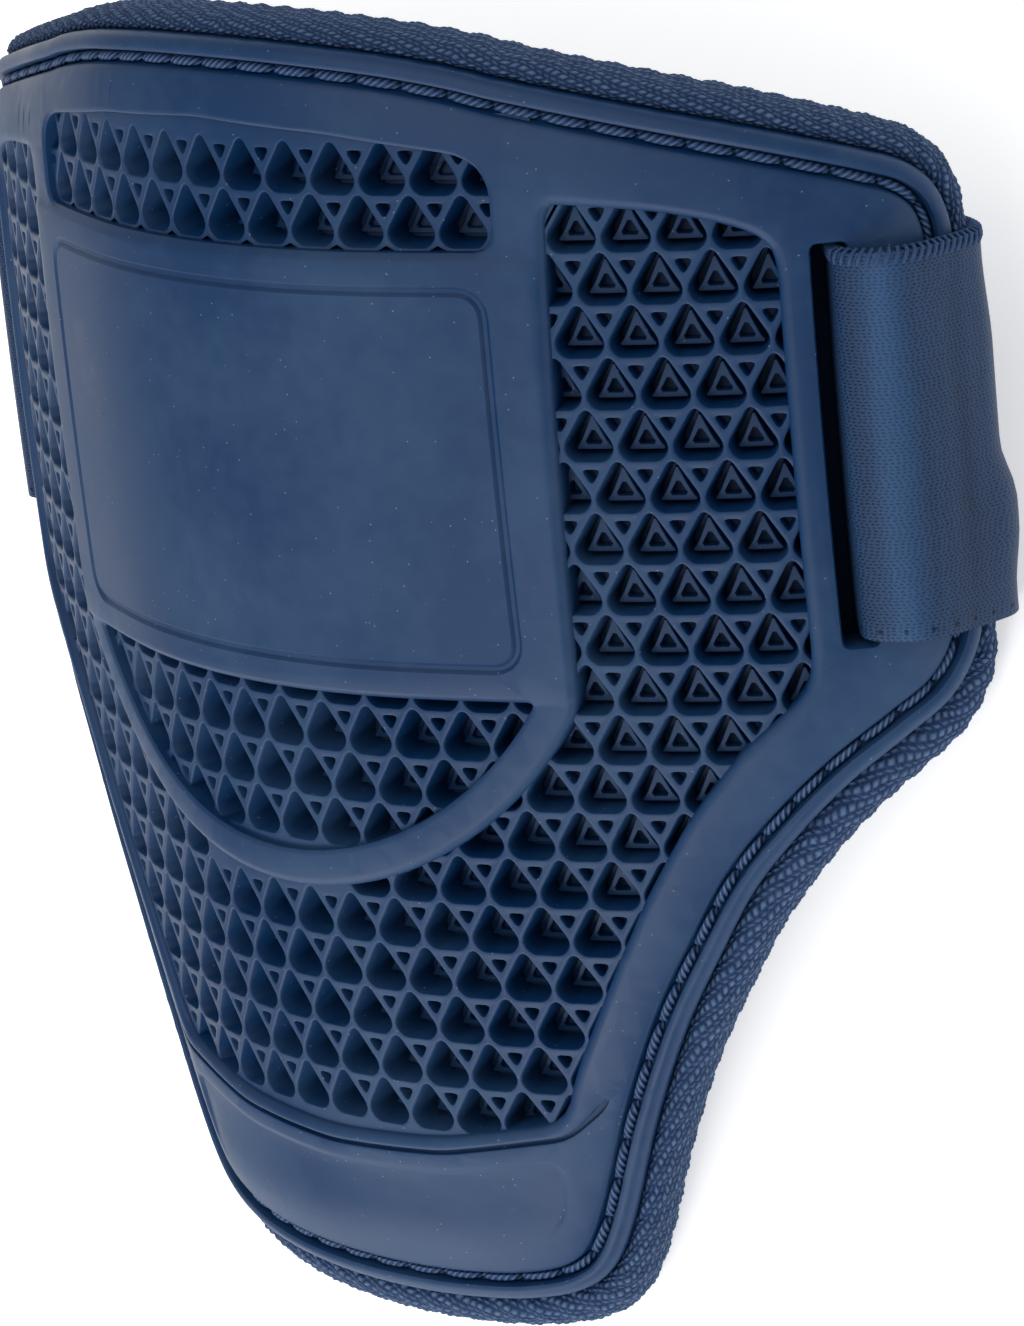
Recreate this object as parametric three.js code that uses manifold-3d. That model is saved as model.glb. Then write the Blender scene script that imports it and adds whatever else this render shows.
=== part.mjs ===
// Elbow guard: a moulded rubber shell with an open lattice, a fabric-covered foam pad stitched behind it,
// and one elastic strap looped round the bar of each ear.
// Millimetres, +Z up. The guard lies hollow side down on its ears and its lower end, with the strap on the
// ground between the ears. The origin is at ground level under the strap, and +Y points to the wide end.
import * as THREE from 'three';
import { mergeGeometries, mergeVertices } from 'three/addons/utils/BufferGeometryUtils.js';
import Module from 'manifold-3d';

const wasm = await Module();
wasm.setup();

// The guard is laid out flat and then bent. In the flat pattern u runs across from the centre line,
// s runs down from the top edge, and n is the height above the shell's outer face.

// Cross-section of the outer face: a front arc, flatter flanks and rolled ears, by radius and end in u.
const SECTION_ARCS = [
  { radius: 74, end: 26 },
  { radius: 200, end: 70 },
  { radius: 52, end: Infinity },
];
// The centre line leans back toward the lower end along one long arc.
const BOW_RADIUS = 872;
const TOP_SLOPE = -0.0331;
// Lying down, the guard leans forward until its lower end meets the ground.
const REST_TILT = THREE.MathUtils.degToRad(15);

// Edge of the shell: where each column of the flat pattern starts and ends, right half.
const SHELL_COLUMNS = [
  { u: 0, top: 0.4, bottom: 168.4 },
  { u: 10, top: 0.6, bottom: 168.3 },
  { u: 18, top: 1.1, bottom: 168.0 },
  { u: 26, top: 1.9, bottom: 167.3 },
  { u: 33, top: 3.0, bottom: 165.6 },
  { u: 38, top: 4.0, bottom: 162.3 },
  { u: 42, top: 5.0, bottom: 155.8 },
  { u: 48, top: 6.3, bottom: 140.6 },
  { u: 54, top: 7.6, bottom: 127.5 },
  { u: 60, top: 8.9, bottom: 117.2 },
  { u: 66, top: 10.2, bottom: 107.9 },
  { u: 73, top: 11.7, bottom: 100.3 },
  { u: 80, top: 13.4, bottom: 94.3 },
  { u: 87.5, top: 15.5, bottom: 89.3 },
  { u: 93.5, top: 17.8, bottom: 85.3 },
  { u: 97.3, top: 21.5, bottom: 80.5 },
  { u: 99, top: 27.5, bottom: 75.5 },
];
const EAR_REACH = 99;
const SHELL_THICKNESS = 6.5;
// The rim is lower than the middle of the shell, and slopes up to it over this width.
const RIM_DROP = 3;
const RIM_WIDTH = 12;

// Lattice of house-shaped pockets, in rows that shift by half a pitch.
const PITCH = 6.8;
const ROW_PITCH = 6.45;
const FIRST_ROW = 13.2;
const ROW_COUNT = 21;
const COLUMN_REACH = 12;
const POCKET_HALF_WIDTH = 2.85;
const POCKET_APEX = 0.35;
const POCKET_HALF_FOOT = 2.4;
const POCKET_SHOULDER = 3.4;
const POCKET_FOOT = 5.9;
const POCKET_DEPTH = 5;

// Windows of the lattice, in the flat pattern.
const BAR_INNER = 41.3;
const BAR_OUTER_TOP = 48;
const BAR_OUTER_FOOT = 46.4;
const TOP_WINDOW_CROWN = 10.5;
const TOP_WINDOW_EDGE = [
  { u: BAR_INNER, s: 26.1 },
  { u: BAR_INNER, s: 17.2 },
  { u: 38.3, s: 14.4 },
  { u: 19.2, s: 11.7 },
];
const U_CENTRE = 56.7;
const U_INNER_RADIUS = 48.5;
const U_OUTER_RADIUS = 53.6;
const U_WINDOW_TOP = 82.9;
const U_ARC_STEPS = 12;
// Outer edge of the side panels and of the lattice below the U rib, right half, from the top.
const PANEL_EDGE = [
  { u: 50.5, s: 20.6 },
  { u: 62, s: 21.7 },
  { u: 70, s: 23.4 },
  { u: 74.6, s: 25.3 },
  { u: 76, s: 28 },
  { u: 76, s: 78.5 },
  { u: 74.8, s: 82 },
  { u: 66.4, s: 88.8 },
  { u: 58.7, s: 97.6 },
  { u: 51.8, s: 108.1 },
  { u: 46, s: 118.6 },
  { u: 38.6, s: 132.8 },
  { u: 36, s: 141 },
  { u: 18, s: 144.5 },
];
const PANEL_FOOT = 145.6;

// Slot in each ear, with the ear's bar outside it.
const SLOT_INNER = 80;
const SLOT_OUTER = 84.5;
const SLOT_TOP = 26.4;
const SLOT_FOOT = 76.4;

// Foam pad: it reaches past the shell all round and has rounded edges.
const PAD_GAP = 0.3;
const PAD_THICKNESS = 6;
const PAD_SIDE_REACH = 3.2;
const PAD_TOP_REACH = 2;
const PAD_FOOT_REACH = 4.4;
const PAD_EDGE_ROUND = 2;

// Elastic strap.
const STRAP_WIDTH = 48;
const STRAP_CENTRE = 51.4;
const STRAP_THICKNESS = 1.6;
const STRAP_CLEARANCE = 0.6;
const STRAP_FLAT_HALF = 44;
const STRAP_SEAM = 5;

const padOuter = -SHELL_THICKNESS - PAD_GAP;
const padInner = padOuter - PAD_THICKNESS;

// Point of the three-arc cross-section at the arc length u: how far across, how far back, and its heading.
function sectionAt(u) {
  let across = 0;
  let back = 0;
  let heading = 0;
  let start = 0;
  for (const { radius, end } of SECTION_ARCS) {
    const run = THREE.MathUtils.clamp(Math.abs(u) - start, 0, end - start);
    const next = heading + run / radius;
    across += radius * (Math.sin(next) - Math.sin(heading));
    back += radius * (Math.cos(heading) - Math.cos(next));
    heading = next;
    start = end;
  }
  return { across: Math.sign(u) * across, back, heading: Math.sign(u) * heading };
}

// Bends a point of the flat pattern round the arm and leans it over as the guard lies.
function bendPoint(u, s, n) {
  const { across, back, heading } = sectionAt(u);
  const slope = TOP_SLOPE + s / BOW_RADIUS;
  const lean = BOW_RADIUS * (Math.cos(TOP_SLOPE) - Math.cos(slope));
  const down = BOW_RADIUS * (Math.sin(slope) - Math.sin(TOP_SLOPE));
  const point = new THREE.Vector3(across + n * Math.sin(heading), -down, n * Math.cos(heading) - back - lean);
  return point.applyAxisAngle(new THREE.Vector3(1, 0, 0), REST_TILT);
}

// Shift that sets the lowest point of the pad's edge on the ground and the strap's middle over the origin.
const padEdge = SHELL_COLUMNS.map(({ u, bottom }) => {
  const wide = u * (1 + PAD_SIDE_REACH / EAR_REACH);
  return bendPoint(wide, bottom + PAD_FOOT_REACH, padInner + PAD_EDGE_ROUND);
});
const padLowest = Math.min(...padEdge.map(({ z }) => z));
const strapMiddle = bendPoint(EAR_REACH, STRAP_CENTRE, padInner).y;
const restShift = new THREE.Vector3(0, -strapMiddle, -padLowest);

function place(u, s, n) {
  return bendPoint(u, s, n).add(restShift);
}

// Bends a flat geometry, drawn with x across, y up the guard and z outward.
function bend(geometry) {
  const bent = geometry.clone();
  const positions = bent.getAttribute('position');
  for (let i = 0; i < positions.count; i++) {
    const point = place(positions.getX(i), -positions.getY(i), positions.getZ(i));
    positions.setXYZ(i, point.x, point.y, point.z);
  }
  return bent;
}

function toSolid(geometry) {
  const bare = geometry.clone();
  bare.deleteAttribute('normal');
  bare.deleteAttribute('uv');
  const merged = mergeVertices(bare, 1e-4);
  const vertProperties = new Float32Array(merged.getAttribute('position').array);
  const triVerts = new Uint32Array(merged.getIndex().array);
  return new wasm.Manifold(new wasm.Mesh({ numProp: 3, vertProperties, triVerts }));
}

function toGeometry(solid) {
  const mesh = solid.getMesh();
  const geometry = new THREE.BufferGeometry();
  geometry.setAttribute('position', new THREE.BufferAttribute(mesh.vertProperties, 3));
  geometry.setIndex(new THREE.BufferAttribute(mesh.triVerts, 1));
  geometry.computeVertexNormals();
  return geometry;
}

function extrudeFlat(points, low, high) {
  const shape = new THREE.Shape(points);
  const geometry = new THREE.ExtrudeGeometry(shape, { depth: high - low, bevelEnabled: false });
  return geometry.translate(0, 0, low);
}

function mirrored(columns) {
  const left = columns.slice(1).reverse().map((column) => ({ ...column, u: -column.u }));
  return [...left, ...columns];
}

// A curved plate over columns of the flat pattern, from its outer face to its inner one.
// Each layer gives the point (u, s, n) for a column and a fraction of the way down it.
function plateGeometry(columns, fractions, layers) {
  const positions = [];
  for (const layer of layers) {
    for (const column of columns) {
      for (const fraction of fractions) {
        const { u, s, n } = layer(column, fraction);
        positions.push(...place(u, s, n).toArray());
      }
    }
  }
  const across = columns.length;
  const down = fractions.length;
  const vertex = (layer, i, j) => (layer * across + i) * down + j;
  const index = [];
  const quad = (a, b, c, d) => index.push(a, b, c, a, c, d);
  const last = layers.length - 1;
  for (let i = 0; i + 1 < across; i++) {
    for (let j = 0; j + 1 < down; j++) {
      quad(vertex(0, i, j), vertex(0, i, j + 1), vertex(0, i + 1, j + 1), vertex(0, i + 1, j));
      quad(vertex(last, i, j), vertex(last, i + 1, j), vertex(last, i + 1, j + 1), vertex(last, i, j + 1));
    }
  }
  const edge = [];
  for (let j = 0; j < down; j++) edge.push([0, j]);
  for (let i = 1; i < across; i++) edge.push([i, down - 1]);
  for (let j = down - 2; j >= 0; j--) edge.push([across - 1, j]);
  for (let i = across - 2; i > 0; i--) edge.push([i, 0]);
  for (let k = 0; k < last; k++) {
    edge.forEach(([i, j], at) => {
      const [nextI, nextJ] = edge[(at + 1) % edge.length];
      quad(vertex(k, i, j), vertex(k + 1, i, j), vertex(k + 1, nextI, nextJ), vertex(k, nextI, nextJ));
    });
  }
  const geometry = new THREE.BufferGeometry();
  geometry.setAttribute('position', new THREE.Float32BufferAttribute(positions, 3));
  geometry.setIndex(index);
  return geometry;
}

// Height of the shell's outer face: level in the middle, sloping down to the rim.
const shellOutline = [
  ...mirrored(SHELL_COLUMNS).map(({ u, top }) => new THREE.Vector3(u, top, 0)),
  ...mirrored(SHELL_COLUMNS).reverse().map(({ u, bottom }) => new THREE.Vector3(u, bottom, 0)),
];

function distanceToEdge(u, s) {
  const point = new THREE.Vector3(u, s, 0);
  const nearest = new THREE.Vector3();
  let least = Infinity;
  shellOutline.forEach((start, at) => {
    const side = new THREE.Line3(start, shellOutline[(at + 1) % shellOutline.length]);
    side.closestPointToPoint(point, true, nearest);
    least = Math.min(least, nearest.distanceTo(point));
  });
  return least;
}

function shellTop(u, s) {
  return -RIM_DROP * Math.max(0, 1 - distanceToEdge(u, s) / RIM_WIDTH);
}

const lerp = THREE.MathUtils.lerp;

function shellBlank() {
  const fractions = [0, 0.08, 0.26, 0.5, 0.74, 0.92, 1];
  const outer = ({ u, top, bottom }, fraction) => {
    const s = lerp(top, bottom, fraction);
    return { u, s, n: shellTop(u, s) };
  };
  const inner = ({ u, top, bottom }, fraction) => {
    return { u, s: lerp(top, bottom, fraction), n: -SHELL_THICKNESS };
  };
  return plateGeometry(mirrored(SHELL_COLUMNS), fractions, [outer, inner]);
}

function padBlank() {
  const grow = (EAR_REACH + PAD_SIDE_REACH) / EAR_REACH;
  const fractions = [0, 0.1, 0.3, 0.5, 0.7, 0.9, 1];
  const layer = (inset, n) => ({ u, top, bottom }, fraction) => ({
    u: u * (grow - inset / EAR_REACH),
    s: lerp(top - PAD_TOP_REACH + inset, bottom + PAD_FOOT_REACH - inset, fraction),
    n,
  });
  return plateGeometry(mirrored(SHELL_COLUMNS), fractions, [
    layer(PAD_EDGE_ROUND, padOuter),
    layer(0, padOuter - PAD_EDGE_ROUND),
    layer(0, padInner + PAD_EDGE_ROUND),
    layer(PAD_EDGE_ROUND, padInner),
  ]);
}

// The slot goes through the shell and the pad, in straight lengths that follow the bow.
function slotCutter(side) {
  const margin = 3;
  const slot = new THREE.BoxGeometry(
    SLOT_OUTER - SLOT_INNER, SLOT_FOOT - SLOT_TOP, margin * 2 - padInner, 1, 3, 1,
  );
  slot.translate(side * (SLOT_OUTER + SLOT_INNER) / 2, -(SLOT_TOP + SLOT_FOOT) / 2, padInner / 2);
  return toSolid(bend(slot));
}

// Windows that hold the lattice, as outlines in the flat pattern with y up the guard.
function flatPoint(u, s) {
  return new THREE.Vector2(u, -s);
}

function arcPoints(radius, fromU, toU) {
  const start = Math.asin(fromU / radius);
  const end = Math.asin(toU / radius);
  return Array.from({ length: U_ARC_STEPS + 1 }, (_, i) => {
    const angle = lerp(start, end, i / U_ARC_STEPS);
    return flatPoint(radius * Math.sin(angle), U_CENTRE + radius * Math.cos(angle));
  });
}

function topWindow() {
  const right = TOP_WINDOW_EDGE.map(({ u, s }) => flatPoint(u, s));
  const left = TOP_WINDOW_EDGE.map(({ u, s }) => flatPoint(-u, s)).reverse();
  return [...right, flatPoint(0, TOP_WINDOW_CROWN), ...left];
}

function uWindow() {
  const reach = Math.sqrt(U_INNER_RADIUS ** 2 - (U_WINDOW_TOP - U_CENTRE) ** 2);
  return arcPoints(U_INNER_RADIUS, -reach, reach);
}

function panelWindow() {
  const right = PANEL_EDGE.map(({ u, s }) => flatPoint(u, s));
  const left = PANEL_EDGE.map(({ u, s }) => flatPoint(-u, s)).reverse();
  const rib = arcPoints(U_OUTER_RADIUS, -BAR_OUTER_FOOT, BAR_OUTER_FOOT);
  const panelTop = PANEL_EDGE[0].s;
  return [
    flatPoint(BAR_OUTER_TOP, panelTop), ...right, flatPoint(0, PANEL_FOOT), ...left,
    flatPoint(-BAR_OUTER_TOP, panelTop), ...rib,
  ].reverse();
}

function isInside(point, outline) {
  let inside = false;
  outline.forEach((a, i) => {
    const b = outline[(i + 1) % outline.length];
    const crosses = (a.y > point.y) !== (b.y > point.y);
    if (crosses && point.x < a.x + ((b.x - a.x) * (point.y - a.y)) / (b.y - a.y)) inside = !inside;
  });
  return inside;
}

// One pocket hangs below its apex: two sloping sides, two upright ones that close in a little, and a foot.
function pocketOutline(u, s) {
  return [
    flatPoint(u, s + POCKET_APEX),
    flatPoint(u - POCKET_HALF_WIDTH, s + POCKET_SHOULDER),
    flatPoint(u - POCKET_HALF_FOOT, s + POCKET_FOOT),
    flatPoint(u + POCKET_HALF_FOOT, s + POCKET_FOOT),
    flatPoint(u + POCKET_HALF_WIDTH, s + POCKET_SHOULDER),
  ];
}

function latticeCutter() {
  const above = 1;
  const windows = [topWindow(), uWindow(), panelWindow()];
  const pockets = [];
  for (let row = -1; row < ROW_COUNT; row++) {
    const s = FIRST_ROW + row * ROW_PITCH;
    const shift = row % 2 === 0 ? 0 : 0.5;
    for (let column = -COLUMN_REACH; column <= COLUMN_REACH; column++) {
      const u = (column + shift) * PITCH;
      const middle = flatPoint(u, s + (POCKET_SHOULDER + POCKET_FOOT) / 2);
      if (!windows.some((outline) => isInside(middle, outline))) continue;
      pockets.push(extrudeFlat(pocketOutline(u, s), -POCKET_DEPTH, above));
    }
  }
  const windowPrisms = windows.map((outline) => extrudeFlat(outline, -POCKET_DEPTH - above, above * 2));
  const clipped = toSolid(mergeGeometries(pockets)).intersect(toSolid(mergeGeometries(windowPrisms)));
  return toSolid(bend(toGeometry(clipped)));
}

// The strap's inner face round the right ear's bar, and the way that its thickness goes at each point:
// up through the slot, over the bar, round the pad's edge and back under it.
const tipU = EAR_REACH + PAD_SIDE_REACH;
const underPad = padInner - STRAP_CLEARANCE;
const slotWall = SLOT_OUTER - STRAP_CLEARANCE;
const RING_PATH = [
  { u: slotWall, n: underPad, du: -1, dn: -1 },
  { u: slotWall, n: STRAP_CLEARANCE, du: -1, dn: 0 },
  { u: SLOT_OUTER + 0.5, n: STRAP_CLEARANCE + 0.4, du: -0.5, dn: 1 },
  { u: SLOT_OUTER + 6, n: STRAP_CLEARANCE, du: 0, dn: 1 },
  { u: EAR_REACH - 3, n: STRAP_CLEARANCE - RIM_DROP / 2, du: 0, dn: 1 },
  { u: EAR_REACH + 0.8, n: STRAP_CLEARANCE - RIM_DROP, du: 0.7, dn: 0.7 },
  { u: tipU + STRAP_CLEARANCE, n: padOuter - PAD_EDGE_ROUND, du: 1, dn: 0 },
  { u: tipU + STRAP_CLEARANCE, n: padInner + PAD_EDGE_ROUND, du: 1, dn: 0 },
  { u: tipU - PAD_EDGE_ROUND, n: underPad, du: 0, dn: -1 },
];

// One edge of the strap, as the right half of its outline and the hole of its ring.
// The band leaves the ring under the ear, where it is sewn to itself, and goes down to the ground.
function strapEdge(s) {
  const ring = (out) => RING_PATH.map(({ u, n, du, dn }) => place(u + du * out, s, n + dn * out));
  const seam = place(tipU - PAD_EDGE_ROUND - STRAP_SEAM, s, underPad - STRAP_THICKNESS);
  const ground = (z) => new THREE.Vector3(STRAP_FLAT_HALF, seam.y, z);
  return {
    outline: [ground(STRAP_THICKNESS), seam, ...ring(STRAP_THICKNESS), ground(0)],
    hole: ring(0),
  };
}

function flipped(points) {
  return points.map(({ x, y, z }) => new THREE.Vector3(-x, y, z)).reverse();
}

// The strap is ruled between its two edges, with a triangulated face on each.
// Seen from the lower end, its outline runs anticlockwise and the holes of its rings run clockwise.
// Where the band twists down to the ground, both of its faces are split the same way.
function strapGeometry() {
  const edges = [STRAP_CENTRE - STRAP_WIDTH / 2, STRAP_CENTRE + STRAP_WIDTH / 2].map((s) => {
    const { outline, hole } = strapEdge(s);
    return [[...outline, ...flipped(outline)].reverse(), hole, flipped(hole)];
  });
  const [outline, ...holes] = edges[0].map((loop) => loop.map(({ x, z }) => new THREE.Vector2(x, z)));
  const faces = THREE.ShapeUtils.triangulateShape(outline, holes);
  const count = edges[0].flat().length;
  const index = [];
  for (const [a, b, c] of faces) index.push(c, b, a, count + a, count + b, count + c);
  let first = 0;
  for (const loop of edges[0]) {
    for (let i = 0; i < loop.length; i++) {
      const here = first + i;
      const next = first + (i + 1) % loop.length;
      const [farHere, farNext] = [here + count, next + count];
      const outward = Math.abs(loop[i].x) < Math.abs(loop[(i + 1) % loop.length].x);
      if (outward) index.push(here, next, farNext, here, farNext, farHere);
      else index.push(here, next, farHere, next, farNext, farHere);
    }
    first += loop.length;
  }
  const positions = edges.flat(2).flatMap((point) => point.toArray());
  const geometry = new THREE.BufferGeometry();
  geometry.setAttribute('position', new THREE.Float32BufferAttribute(positions, 3));
  geometry.setIndex(index);
  return geometry;
}

const navyRubber = new THREE.MeshStandardMaterial({ color: '#2f4566', roughness: 0.55, metalness: 0 });
const navyFabric = new THREE.MeshStandardMaterial({ color: '#2b3f61', roughness: 0.9, metalness: 0 });
const navyElastic = new THREE.MeshStandardMaterial({ color: '#24395c', roughness: 0.85, metalness: 0 });

function namedMesh(name, geometry, material) {
  const mesh = new THREE.Mesh(geometry, material);
  mesh.name = name;
  return mesh;
}

const slots = slotCutter(1).add(slotCutter(-1));
const shell = toGeometry(toSolid(shellBlank()).subtract(latticeCutter()).subtract(slots));
const pad = toGeometry(toSolid(padBlank()).subtract(slots));

const guard = new THREE.Group();
guard.add(
  namedMesh('shell', shell, navyRubber),
  namedMesh('pad', pad, navyFabric),
  namedMesh('strap', strapGeometry(), navyElastic),
);

export default guard;
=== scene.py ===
import math
from bisect import bisect
from collections import Counter

import bpy
from mathutils import Matrix, Vector, kdtree, noise
from mathutils.geometry import interpolate_bezier


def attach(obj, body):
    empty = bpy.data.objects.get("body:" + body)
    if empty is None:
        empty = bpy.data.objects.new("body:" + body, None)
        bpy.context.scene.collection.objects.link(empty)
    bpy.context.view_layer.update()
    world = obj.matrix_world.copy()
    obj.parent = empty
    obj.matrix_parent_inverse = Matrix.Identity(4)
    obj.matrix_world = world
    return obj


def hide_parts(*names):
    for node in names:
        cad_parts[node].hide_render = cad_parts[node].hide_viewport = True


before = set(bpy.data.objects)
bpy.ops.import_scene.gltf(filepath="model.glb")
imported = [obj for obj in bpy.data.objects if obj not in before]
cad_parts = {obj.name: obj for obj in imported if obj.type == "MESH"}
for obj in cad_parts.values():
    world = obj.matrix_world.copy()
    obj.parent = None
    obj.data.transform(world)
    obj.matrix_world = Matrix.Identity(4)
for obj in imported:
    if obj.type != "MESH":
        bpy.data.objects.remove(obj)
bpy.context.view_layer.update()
bpy.ops.object.select_all(action="DESELECT")

# Rubber shell, the frame round the lattice.
# One moulding of navy thermoplastic rubber. It is drawn flat, x across, y up the guard and z out of it,
# and then bent round the arm. Its rim is a bead with a sewing channel inside it.
mm = 0.001

# Arcs of the cross-section: radius, and the distance from the middle where each ends.
SECTION_ARCS = ((74, 26), (200, 70), (52, math.inf))
BOW_RADIUS = 872
TOP_SLOPE = -0.0331
REST_TILT = math.radians(15)
SHELL_THICKNESS = 6.5
RIM_DROP = 3
RIM_WIDTH = 12
RIM_POWER = 1.5

# Edge of the shell, right half: distance across, top edge and lower edge.
SHELL_COLUMNS = (
    (0, 0.4, 168.4), (10, 0.6, 168.3), (18, 1.1, 168.0), (26, 1.9, 167.3), (33, 3.0, 165.6),
    (38, 4.0, 162.3), (42, 5.0, 155.8), (48, 6.3, 140.6), (54, 7.6, 127.5), (60, 8.9, 117.2),
    (66, 10.2, 107.9), (73, 11.7, 100.3), (80, 13.4, 94.3), (87.5, 15.5, 89.3), (93.5, 17.8, 85.3),
    (97.3, 21.5, 80.5), (99, 27.5, 75.5),
)
EAR_REACH = 99

# The pad behind the shell reaches past its edge, and its lowest point lies on the ground.
PAD_OUTER = -6.8
PAD_INNER = -12.8
PAD_SIDE_REACH = 3.2
PAD_TOP_REACH = 2
PAD_FOOT_REACH = 4.4
PAD_EDGE_ROUND = 2
STRAP_CENTRE = 51.4
EDGE_STEPS = 8
EASE_MOST = 0.45
EASE_PULL = 0.6
MERGE_DISTANCE = 0.01
LEVEL_WITHIN = 1e-6


def bend_point(u, s, n):
    """Bends a point of the flat pattern: u across, s down from the top, n out of the surface."""
    across = back = heading = start = 0
    for radius, end in SECTION_ARCS:
        run = min(max(abs(u) - start, 0), end - start)
        turned = heading + run / radius
        across += radius * (math.sin(turned) - math.sin(heading))
        back += radius * (math.cos(heading) - math.cos(turned))
        heading = turned
        start = end
    slope = TOP_SLOPE + s / BOW_RADIUS
    lean = BOW_RADIUS * (math.cos(TOP_SLOPE) - math.cos(slope))
    down = BOW_RADIUS * (math.sin(slope) - math.sin(TOP_SLOPE))
    x = math.copysign(across + n * math.sin(heading), u)
    z = n * math.cos(heading) - back - lean
    tilt_cos = math.cos(REST_TILT)
    tilt_sin = math.sin(REST_TILT)
    return Vector((x, -down * tilt_cos - z * tilt_sin, z * tilt_cos - down * tilt_sin))


pad_wide = 1 + PAD_SIDE_REACH / EAR_REACH
pad_lowest = min(
    bend_point(u * pad_wide, bottom + PAD_FOOT_REACH, PAD_INNER + PAD_EDGE_ROUND).z
    for u, top, bottom in SHELL_COLUMNS
)
rest_shift = Vector((0, -bend_point(EAR_REACH, STRAP_CENTRE, PAD_INNER).y, -pad_lowest))


def place(u, s, n):
    """The bent point in metres, with the guard at rest on the ground."""
    return (bend_point(u, s, n) + rest_shift) * mm


def bend(piece):
    for vertex in piece.data.vertices:
        u, up, n = vertex.co / mm
        vertex.co = place(u, -up, n)


def smooth(points, steps, closed):
    """Points on a curve through the given ones, with a number of steps from each to the next."""
    last = len(points) - 1
    curve = []
    for at in range(len(points) if closed else last):
        start = points[at]
        end = points[(at + 1) % len(points)]
        before = points[at - 1] if closed or at > 0 else start
        after = points[(at + 2) % len(points)] if closed or at + 1 < last else end
        third = (end - start).length / 3
        leave = start + (end - before).normalized() * third
        arrive = end - (after - start).normalized() * third
        curve += interpolate_bezier(start, leave, arrive, end, steps + 1)[:-1]
    return curve if closed else [*curve, points[-1]]


def eased(corners, cut, steps=3):
    """A closed outline with each corner rounded off, starting at most a cut away from it."""
    points = [Vector(corner).to_3d() for corner in corners]
    outline = []
    for at, corner in enumerate(points):
        to_before = points[at - 1] - corner
        to_after = points[(at + 1) % len(points)] - corner
        start = corner + to_before.normalized() * min(cut, to_before.length * EASE_MOST)
        end = corner + to_after.normalized() * min(cut, to_after.length * EASE_MOST)
        leave = start.lerp(corner, EASE_PULL)
        arrive = end.lerp(corner, EASE_PULL)
        outline += interpolate_bezier(start, leave, arrive, end, steps + 1)
    return [point.to_2d() for point in outline]


def meshed(name, curve):
    """A mesh piece made from a curve."""
    piece = bpy.data.objects.new(name, curve)
    bpy.context.collection.objects.link(piece)
    bpy.context.view_layer.objects.active = piece
    piece.select_set(True)
    bpy.ops.object.convert(target="MESH")
    piece.select_set(False)
    return piece


def sweep(outline, profile):
    """Sweeps a profile (distance outward, height) round a closed anticlockwise outline, in millimetres."""
    section = bpy.data.curves.new("profile", "CURVE")
    line = section.splines.new("POLY")
    line.points.add(len(profile) - 1)
    for point, (outward, height) in zip(line.points, profile):
        point.co = (outward * mm, height * mm, 0, 1)
    section_object = bpy.data.objects.new("profile", section)
    bpy.context.collection.objects.link(section_object)
    path = bpy.data.curves.new("path", "CURVE")
    path.dimensions = "3D"
    path.twist_mode = "Z_UP"
    path.bevel_mode = "OBJECT"
    path.bevel_object = section_object
    line = path.splines.new("POLY")
    line.points.add(len(outline) - 1)
    line.use_cyclic_u = True
    for point, (across, up) in zip(line.points, outline):
        point.co = (across * mm, up * mm, 0, 1)
    strip = meshed("strip", path)
    bpy.data.objects.remove(section_object)
    return strip


def joined(name, pieces):
    for piece in pieces:
        piece.select_set(True)
    bpy.context.view_layer.objects.active = pieces[0]
    bpy.ops.object.join()
    pieces[0].name = name
    pieces[0].select_set(False)
    return pieces[0]


def edit(piece):
    bpy.context.view_layer.objects.active = piece
    bpy.ops.object.mode_set(mode="EDIT")
    bpy.ops.mesh.select_mode(type="EDGE")


def fill_between(piece, height):
    """Fills between the open edges at one height, so that loops inside loops stay holes."""
    edit(piece)
    bpy.ops.mesh.select_all(action="DESELECT")
    bpy.ops.object.mode_set(mode="OBJECT")
    uses = Counter(key for face in piece.data.polygons for key in face.edge_keys)
    vertices = piece.data.vertices
    for edge in piece.data.edges:
        level = all(abs(vertices[at].co.z - height * mm) < LEVEL_WITHIN for at in edge.vertices)
        edge.select = level and uses[edge.key] < 2
    edit(piece)
    bpy.ops.mesh.fill(use_beauty=True)
    bpy.ops.object.mode_set(mode="OBJECT")


def slice_flat(piece, columns, rows):
    """Cuts a flat piece along straight lines across and down it, so that it can bend."""
    edit(piece)
    for u in columns:
        bpy.ops.mesh.select_all(action="SELECT")
        bpy.ops.mesh.bisect(plane_co=(u * mm, 0, 0), plane_no=(1, 0, 0))
    for s in rows:
        bpy.ops.mesh.select_all(action="SELECT")
        bpy.ops.mesh.bisect(plane_co=(0, -s * mm, 0), plane_no=(0, 1, 0))
    bpy.ops.object.mode_set(mode="OBJECT")


def merge(piece, distance):
    edit(piece)
    bpy.ops.mesh.select_all(action="SELECT")
    bpy.ops.mesh.remove_doubles(threshold=distance * mm)
    bpy.ops.object.mode_set(mode="OBJECT")


def close_up(piece, sharp):
    """Merges doubles, points the faces outward and smooths the edges that turn less than a sharp angle."""
    merge(piece, MERGE_DISTANCE)
    edit(piece)
    bpy.ops.mesh.select_all(action="SELECT")
    bpy.ops.mesh.normals_make_consistent(inside=False)
    bpy.ops.object.mode_set(mode="OBJECT")
    piece.select_set(True)
    bpy.ops.object.shade_smooth_by_angle(angle=math.radians(sharp))
    piece.select_set(False)


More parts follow.
